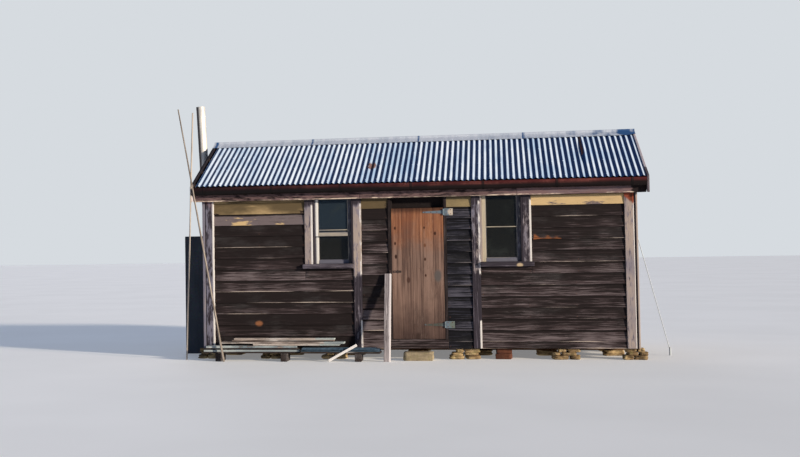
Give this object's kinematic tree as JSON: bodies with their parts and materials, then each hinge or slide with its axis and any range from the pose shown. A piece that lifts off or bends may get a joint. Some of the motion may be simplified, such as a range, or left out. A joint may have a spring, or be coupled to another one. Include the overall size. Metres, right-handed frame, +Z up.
{
  "type": "shepherds hut",
  "caption": "Small timber hut on stones with lapped boards, a corrugated iron gable roof, a ledged door that swings, windows and an iron fireplace alcove with its flue.",
  "frame": {"origin": "on the ground under the middle of the timber frame", "axes": "+X along the front to its right end, -Y out of the front wall, +Z up"},
  "size_m": [6.875, 3.3219, 3.741],
  "materials": {
    "stone": "rough",
    "step_block": "rough, pale",
    "weathered_board": "weathered, rough",
    "pale_trim": "weathered bare timber",
    "inside_timber": "rough sawn",
    "door_timber": "weathered",
    "sash_paint": "flaking cream paint",
    "fascia_timber": "worn dark paint",
    "glass": "old window glass",
    "galvanised_iron": "dull galvanised",
    "ridge_iron": "faded",
    "gutter_paint": "faded maroon",
    "alcove_iron": "dull grey",
    "flue_iron": "bright galvanised",
    "dark_iron": "rusted",
    "pole_wood": "bare",
    "stay_iron": "dull wire rod",
    "scrap_board": "old grey boards and sheet iron"
  },
  "bodies": {
    "hut": {"foundation_stones": "stone", "floor_bearers": "inside_timber", "floor_joists": "inside_timber", "floor_boards": "inside_timber", "door_step": "step_block", "front_wall_frame_left": "inside_timber", "front_wall_frame_right": "inside_timber", "back_wall_frame": "inside_timber", "left_wall_frame": "inside_timber", "right_wall_frame": "inside_timber", "top_plates": "inside_timber", "front_boards_left": "weathered_board", "front_boards_by_door": "weathered_board", "front_boards_right": "weathered_board", "back_boards": "weathered_board", "left_boards": "weathered_board", "right_boards": "weathered_board", "corner_boards": "pale_trim", "cover_battens": "pale_trim", "left_window_frame": "pale_trim", "left_window_sashes": "sash_paint", "left_window_glass": "glass", "right_window_frame": "pale_trim", "right_window_sash": "sash_paint", "right_window_glass": "glass", "door_frame": "weathered_board", "threshold_board": "weathered_board", "hinge_plates": "galvanised_iron", "hasp_staple": "dark_iron", "rafters": "inside_timber", "ridge_board": "inside_timber", "purlins": "inside_timber", "front_roof_sheets": "galvanised_iron", "back_roof_sheets": "galvanised_iron", "ridge_cap": "ridge_iron", "left_barge_boards": "fascia_timber", "right_barge_boards": "fascia_timber", "fascia_boards": "fascia_timber", "gutter": "gutter_paint", "gutter_brackets": "gutter_paint", "fireplace_shell": "alcove_iron", "hearth": "stone", "flue": "flue_iron", "aerial_pole": "pole_wood", "leaning_pole": "pole_wood", "right_stay": "stay_iron", "leaning_plank": "pale_trim", "board_stack": "scrap_board"},
    "door": {"door_boards": "door_timber", "door_ledges": "door_timber", "hinge_straps": "galvanised_iron", "door_hasp": "dark_iron"}
  },
  "joints": [
    {"name": "door_swing", "type": "hinge", "parent": "hut", "child": "door", "pos_m": [0.4145, -1.39, 0.277], "axis": [0, 0, 1], "range_deg": [0, 160]}
  ]
}
